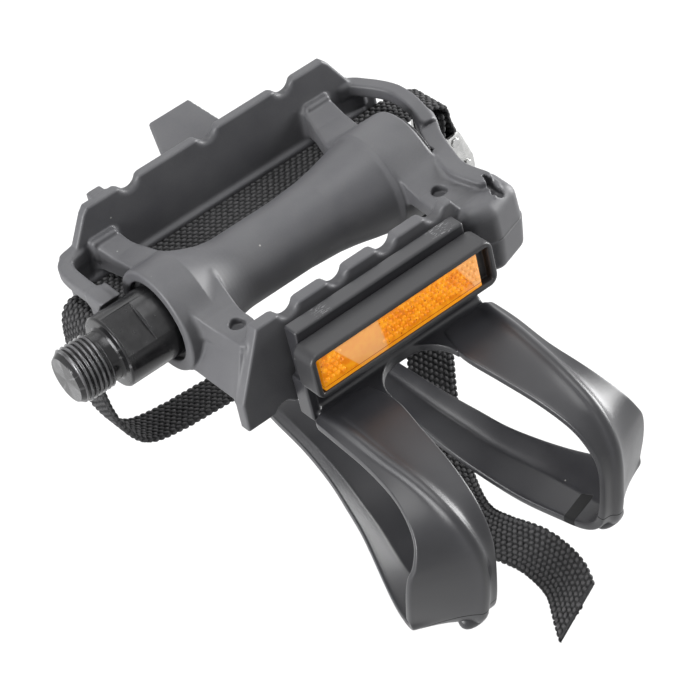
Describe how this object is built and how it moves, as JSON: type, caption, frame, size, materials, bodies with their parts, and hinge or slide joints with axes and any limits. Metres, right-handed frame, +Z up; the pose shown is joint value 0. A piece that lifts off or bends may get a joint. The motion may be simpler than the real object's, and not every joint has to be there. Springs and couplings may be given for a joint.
{
  "type": "bicycle pedal",
  "caption": "Resin pedal on a threaded steel spindle with ball bearings, a moulded toe clip, a webbing strap with a jaw buckle, and amber reflectors.",
  "frame": {"origin": "on the spindle axis at the shoulder that meets the crank arm", "axes": "+X along the spindle away from the crank, +Y towards the rear wall of the body, +Z up with the toe clip hanging below"},
  "size_m": [0.1309, 0.1403, 0.0853],
  "materials": {
    "black_steel": "blackened steel with a light oil film and bright worn edges",
    "bright_steel": "ground steel",
    "ball_steel": "polished steel",
    "zinc_steel": "bright zinc plate",
    "body_resin": "dark grey moulded resin, satin",
    "clip_resin": "dark grey moulded resin, satin",
    "housing_resin": "black moulded resin",
    "amber_lens": "amber reflector lens with moulded prisms",
    "webbing": "black woven webbing",
    "seal_rubber": "black rubber"
  },
  "bodies": {
    "axle": {"spindle": "black_steel", "outer_cone": "bright_steel", "lock_washer": "bright_steel", "lock_nut": "bright_steel"},
    "pedal": {"pedal_body": "body_resin", "inner_cup": "bright_steel", "outer_cup": "bright_steel", "dust_seal": "seal_rubber", "dust_cap": "housing_resin", "toe_clip": "clip_resin", "clip_screws": "zinc_steel", "clip_nuts": "zinc_steel", "front_reflector_housing": "housing_resin", "front_reflector_lens": "amber_lens", "rear_reflector_housing": "housing_resin", "rear_reflector_lens": "amber_lens", "strap": "webbing", "buckle_frame": "zinc_steel", "buckle_bar": "zinc_steel", "buckle_jaw_pin": "zinc_steel", "buckle_spring": "bright_steel", "buckle_roller_pin": "zinc_steel", "strap_rivets": "zinc_steel"},
    "inner_ball_ring": {"inner_balls": "ball_steel"},
    "outer_ball_ring": {"outer_balls": "ball_steel"},
    "jaw": {"buckle_jaw": "zinc_steel"},
    "roller": {"buckle_roller": "bright_steel"}
  },
  "joints": [
    {"name": "pedal_spin", "type": "hinge", "parent": "axle", "child": "pedal", "pos_m": [0.021, 0, 0], "axis": [1, 0, 0], "continuous": true},
    {"name": "inner_ball_spin", "type": "hinge", "parent": "axle", "child": "inner_ball_ring", "pos_m": [0.021, 0, 0], "axis": [1, 0, 0], "continuous": true},
    {"name": "outer_ball_spin", "type": "hinge", "parent": "axle", "child": "outer_ball_ring", "pos_m": [0.0805, 0, 0], "axis": [1, 0, 0], "continuous": true},
    {"name": "jaw_open", "type": "hinge", "parent": "pedal", "child": "jaw", "pos_m": [0.10885, 0.0198, -0.029], "axis": [0, 1, 0], "range_deg": [0, 50], "stiffness_Nm_per_rad": 0.02, "springref_deg": -17.19},
    {"name": "roller_spin", "type": "hinge", "parent": "pedal", "child": "roller", "pos_m": [0.1154, 0.0198, -0.0225], "axis": [0, 1, 0], "continuous": true}
  ],
  "couplings": [
    {"joint": "inner_ball_spin", "follows": "pedal_spin", "ratio": 0.588},
    {"joint": "outer_ball_spin", "follows": "pedal_spin", "ratio": 0.613}
  ]
}
